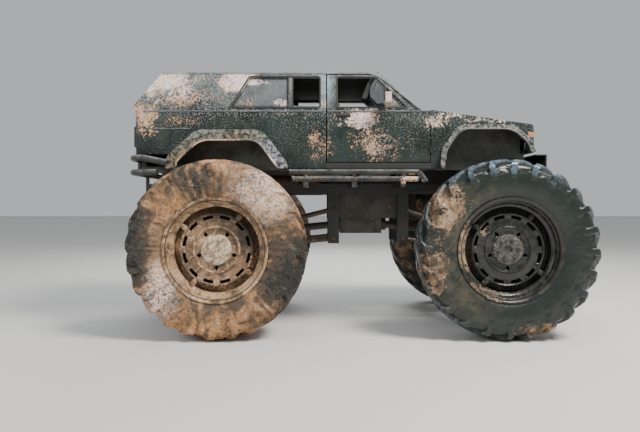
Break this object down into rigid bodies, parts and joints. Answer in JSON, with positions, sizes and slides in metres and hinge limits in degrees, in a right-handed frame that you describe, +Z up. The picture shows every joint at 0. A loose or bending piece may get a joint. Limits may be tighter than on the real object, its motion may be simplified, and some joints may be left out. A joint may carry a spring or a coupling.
{
  "type": "lifted off-road 4x4",
  "caption": "Two-door 4x4 wagon raised on farm-tractor tyres, with opening doors, hood and tailgate, steered front axle and turning wheels.",
  "frame": {"origin": "on the ground under the middle of its length and width", "axes": "+X forward, +Y to the vehicle's left, +Z up"},
  "size_m": [4.6374, 2.5, 2.705],
  "materials": {
    "paint": "worn satin, spattered with mud",
    "dark_paint": "matt, muddy",
    "bar_paint": "worn satin",
    "rim_paint": "worn satin, caked with mud",
    "cast": "rough, muddy",
    "steel": "dull, muddy",
    "alloy": "dull",
    "plastic": "matt",
    "cloth": "woven",
    "tyre": "matt, wet mud",
    "glass": "muddy",
    "lens": "gloss, muddy"
  },
  "bodies": {
    "chassis": {"axle_front": "cast", "axle_rear": "cast", "body_tub": "dark_paint", "bumper_front": "dark_paint", "bumper_rear": "bar_paint", "cab_roof": "paint", "dashboard": "plastic", "driveshafts": "steel", "engine": "cast", "exhaust": "steel", "fender_left": "paint", "fender_right": "paint", "fixed_glass": "glass", "frame": "dark_paint", "fuel_tank": "dark_paint", "gearbox": "cast", "grille_panel": "paint", "lamps": "lens", "links": "steel", "quarter_left": "paint", "quarter_right": "paint", "radiator": "alloy", "seats": "cloth", "shocks": "steel", "steering_wheel": "plastic", "step_bars": "bar_paint", "topper": "paint"},
    "hood": {"hood": "paint"},
    "tailgate": {"tailgate": "paint"},
    "door_right": {"door_right": "paint", "vent_glass_right": "glass", "mirror_right": "plastic"},
    "door_left": {"door_left": "paint", "vent_glass_left": "glass", "mirror_left": "plastic"},
    "knuckle_right": {"knuckle_right": "cast"},
    "knuckle_left": {"knuckle_left": "cast"},
    "tie_rod": {"tie_rod": "steel"},
    "wheel_rear_right": {"rim_rear_right": "rim_paint", "tyre_rear_right": "tyre"},
    "wheel_rear_left": {"rim_rear_left": "rim_paint", "tyre_rear_left": "tyre"},
    "wheel_front_right": {"rim_front_right": "rim_paint", "tyre_front_right": "tyre"},
    "wheel_front_left": {"rim_front_left": "rim_paint", "tyre_front_left": "tyre"}
  },
  "joints": [
    {"name": "door_right_hinge", "type": "hinge", "parent": "chassis", "child": "door_right", "pos_m": [0.75025, -0.817, 2.01], "axis": [0, 0, 1], "range_deg": [0, 65]},
    {"name": "door_left_hinge", "type": "hinge", "parent": "chassis", "child": "door_left", "pos_m": [0.75025, 0.817, 2.01], "axis": [0, 0, -1], "range_deg": [0, 65]},
    {"name": "hood_hinge", "type": "hinge", "parent": "chassis", "child": "hood", "pos_m": [0.74025, 0, 2.283], "axis": [0, -1, 0], "range_deg": [0, 60]},
    {"name": "tailgate_hinge", "type": "hinge", "parent": "chassis", "child": "tailgate", "pos_m": [-2.27575, 0, 1.831], "axis": [0, -1, 0], "range_deg": [0, 90]},
    {"name": "steer_right", "type": "hinge", "parent": "chassis", "child": "knuckle_right", "pos_m": [1.44125, -0.74, 0.8775], "axis": [0, 0, 1], "range_deg": [-25, 25]},
    {"name": "steer_left", "type": "hinge", "parent": "chassis", "child": "knuckle_left", "pos_m": [1.44125, 0.74, 0.8775], "axis": [0, 0, 1], "range_deg": [-25, 25]},
    {"name": "tie_rod_right_eye", "type": "hinge", "parent": "knuckle_right", "child": "tie_rod", "pos_m": [1.72125, -0.74, 0.8775], "axis": [0, 0, 1], "range_deg": [-25, 25]},
    {"name": "wheel_rear_right_spin", "type": "hinge", "parent": "chassis", "child": "wheel_rear_right", "pos_m": [-1.37875, -1.0165, 0.8775], "axis": [0, 1, 0], "continuous": true},
    {"name": "wheel_rear_left_spin", "type": "hinge", "parent": "chassis", "child": "wheel_rear_left", "pos_m": [-1.37875, 1.0165, 0.8775], "axis": [0, 1, 0], "continuous": true},
    {"name": "wheel_front_right_spin", "type": "hinge", "parent": "knuckle_right", "child": "wheel_front_right", "pos_m": [1.44125, -1.0165, 0.8775], "axis": [0, 1, 0], "continuous": true},
    {"name": "wheel_front_left_spin", "type": "hinge", "parent": "knuckle_left", "child": "wheel_front_left", "pos_m": [1.44125, 1.0165, 0.8775], "axis": [0, 1, 0], "continuous": true}
  ],
  "couplings": [
    {"joint": "steer_left", "follows": "steer_right", "ratio": 1},
    {"joint": "tie_rod_right_eye", "follows": "steer_right", "ratio": -1}
  ]
}
